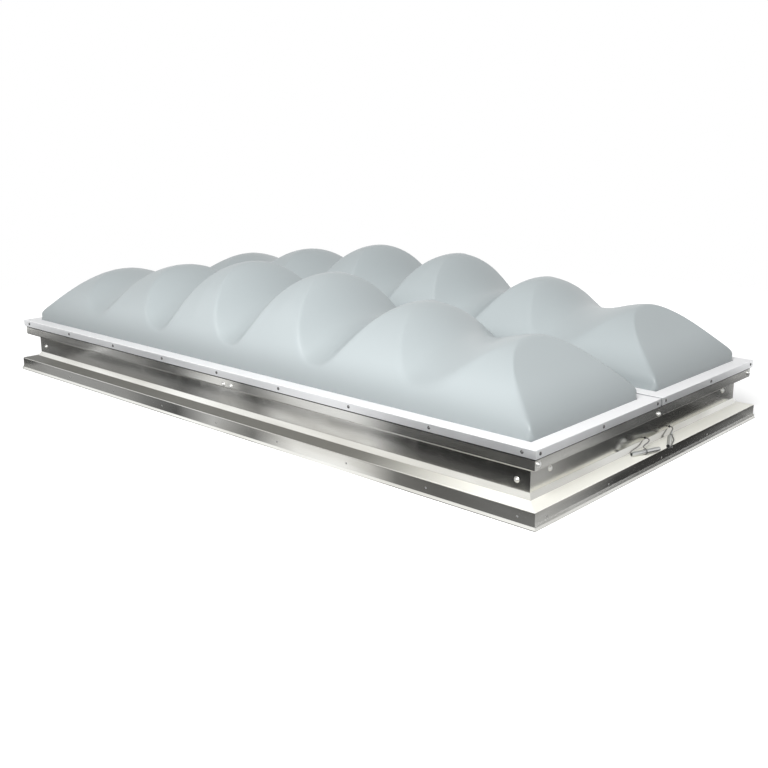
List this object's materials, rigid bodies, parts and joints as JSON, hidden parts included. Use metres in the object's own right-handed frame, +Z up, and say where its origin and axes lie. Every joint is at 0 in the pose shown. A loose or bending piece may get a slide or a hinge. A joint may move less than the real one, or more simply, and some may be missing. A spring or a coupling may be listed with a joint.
{
  "type": "smoke vent",
  "caption": "Roof smoke vent: a flanged curb with two humped dome leaves that swing open from the long sides on gas springs, with manual pull releases.",
  "frame": {"origin": "centre of the roof opening, on the plane of the skirt's bottom edge", "axes": "+X along the vent towards the front end with the pull handles, +Y across it to the far leaf, +Z up"},
  "size_m": [2.5705, 1.3392, 0.5093],
  "materials": {
    "curb_steel": "mill-bright galvanised sheet with dark and light streaks",
    "cap_aluminium": "bright mill-finish aluminium",
    "frame_aluminium": "mill-finish aluminium",
    "dome_sheet": "opaque silver-grey glossy formed sheet",
    "black_rubber": "matt black",
    "grey_rubber": "matt grey",
    "bolt_zinc": "bright zinc-plated",
    "screw_steel": "dull steel",
    "latch_steel": "zinc-plated plate",
    "link_brass": "plain brass strips soldered together",
    "spring_black": "satin black",
    "rod_chrome": "polished",
    "handle_steel": "satin tube with cut ends",
    "cable_black": "dark sheathed wire rope"
  },
  "bodies": {
    "curb": {"curb_near_side": "curb_steel", "curb_far_side": "curb_steel", "curb_front_end": "curb_steel", "curb_back_end": "curb_steel", "rim_seal": "black_rubber", "centre_gutter": "curb_steel", "gutter_straps": "curb_steel", "gutter_bolts": "bolt_zinc", "gutter_seals": "black_rubber", "centre_seal": "grey_rubber", "hinge_pins": "bolt_zinc", "middle_hinge_brackets": "curb_steel", "middle_hinge_pins": "bolt_zinc", "rim_bolts": "bolt_zinc", "spring_brackets": "curb_steel", "spring_bracket_bolts": "bolt_zinc", "latch_brackets": "curb_steel", "hook_pins": "bolt_zinc", "link_post": "curb_steel", "fusible_link": "link_brass", "cable_anchor": "curb_steel", "cable_conduits": "curb_steel", "grommets": "black_rubber", "pull_handle_left": "handle_steel", "pull_handle_right": "handle_steel", "pull_cable_left": "cable_black", "pull_cable_right": "cable_black", "cable_loop": "cable_black", "cable_sleeve": "handle_steel"},
    "near_leaf": {"dome_near": "dome_sheet", "cap_near": "cap_aluminium", "glazing_tape_near": "black_rubber", "leaf_frame_near": "frame_aluminium", "cap_screws_near": "screw_steel", "hinge_ears_near": "curb_steel", "spring_studs_near": "curb_steel", "keeper_near": "latch_steel"},
    "far_leaf": {"dome_far": "dome_sheet", "cap_far": "cap_aluminium", "glazing_tape_far": "black_rubber", "leaf_frame_far": "frame_aluminium", "cap_screws_far": "screw_steel", "hinge_ears_far": "curb_steel", "spring_studs_far": "curb_steel", "keeper_far": "latch_steel"},
    "near_hook": {"latch_hook_near": "latch_steel"},
    "far_hook": {"latch_hook_far": "latch_steel"},
    "slide": {"release_slide": "latch_steel"},
    "tube_near_front": {"spring_tube_near_front": "spring_black"},
    "rod_near_front": {"spring_rod_near_front": "rod_chrome"},
    "tube_near_back": {"spring_tube_near_back": "spring_black"},
    "rod_near_back": {"spring_rod_near_back": "rod_chrome"},
    "tube_far_front": {"spring_tube_far_front": "spring_black"},
    "rod_far_front": {"spring_rod_far_front": "rod_chrome"},
    "tube_far_back": {"spring_tube_far_back": "spring_black"},
    "rod_far_back": {"spring_rod_far_back": "rod_chrome"}
  },
  "joints": [
    {"name": "near_leaf_hinge", "type": "hinge", "parent": "curb", "child": "near_leaf", "pos_m": [0, -0.63, 0.164], "axis": [1, 0, 0], "range_deg": [0, 90]},
    {"name": "far_leaf_hinge", "type": "hinge", "parent": "curb", "child": "far_leaf", "pos_m": [0, 0.63, 0.164], "axis": [-1, 0, 0], "range_deg": [0, 90]},
    {"name": "tube_pivot_near_front", "type": "hinge", "parent": "curb", "child": "tube_near_front", "pos_m": [1.185, -0.58, 0.102], "axis": [1, 0, 0], "range_deg": [0, 88]},
    {"name": "rod_stroke_near_front", "type": "slide", "parent": "tube_near_front", "child": "rod_near_front", "axis": [0, 0.9764, 0.2162], "range_m": [0, 0.112]},
    {"name": "tube_pivot_near_back", "type": "hinge", "parent": "curb", "child": "tube_near_back", "pos_m": [-1.185, -0.58, 0.102], "axis": [1, 0, 0], "range_deg": [0, 88]},
    {"name": "rod_stroke_near_back", "type": "slide", "parent": "tube_near_back", "child": "rod_near_back", "axis": [0, 0.9764, 0.2162], "range_m": [0, 0.112]},
    {"name": "tube_pivot_far_front", "type": "hinge", "parent": "curb", "child": "tube_far_front", "pos_m": [1.185, 0.58, 0.102], "axis": [-1, 0, 0], "range_deg": [0, 88]},
    {"name": "rod_stroke_far_front", "type": "slide", "parent": "tube_far_front", "child": "rod_far_front", "axis": [0, -0.9764, 0.2162], "range_m": [0, 0.112]},
    {"name": "tube_pivot_far_back", "type": "hinge", "parent": "curb", "child": "tube_far_back", "pos_m": [-1.185, 0.58, 0.102], "axis": [-1, 0, 0], "range_deg": [0, 88]},
    {"name": "rod_stroke_far_back", "type": "slide", "parent": "tube_far_back", "child": "rod_far_back", "axis": [0, -0.9764, 0.2162], "range_m": [0, 0.112]},
    {"name": "release_stroke", "type": "slide", "parent": "curb", "child": "slide", "axis": [1, 0, 0], "range_m": [0, 0.02]},
    {"name": "near_hook_pivot", "type": "hinge", "parent": "curb", "child": "near_hook", "pos_m": [0, -0.088, 0.1], "axis": [1, 0, 0], "range_deg": [0, 26]},
    {"name": "far_hook_pivot", "type": "hinge", "parent": "curb", "child": "far_hook", "pos_m": [0, 0.088, 0.1], "axis": [-1, 0, 0], "range_deg": [0, 26]}
  ],
  "couplings": [
    {"joint": "tube_pivot_near_front", "follows": "near_leaf_hinge", "ratio": 0.942},
    {"joint": "rod_stroke_near_front", "follows": "near_leaf_hinge", "m_per_rad": 0.06901},
    {"joint": "tube_pivot_near_back", "follows": "near_leaf_hinge", "ratio": 0.942},
    {"joint": "rod_stroke_near_back", "follows": "near_leaf_hinge", "m_per_rad": 0.06901},
    {"joint": "tube_pivot_far_front", "follows": "far_leaf_hinge", "ratio": 0.942},
    {"joint": "rod_stroke_far_front", "follows": "far_leaf_hinge", "m_per_rad": 0.06901},
    {"joint": "tube_pivot_far_back", "follows": "far_leaf_hinge", "ratio": 0.942},
    {"joint": "rod_stroke_far_back", "follows": "far_leaf_hinge", "m_per_rad": 0.06901},
    {"joint": "near_hook_pivot", "follows": "release_stroke", "rad_per_m": 21.8},
    {"joint": "far_hook_pivot", "follows": "release_stroke", "rad_per_m": 21.8}
  ]
}
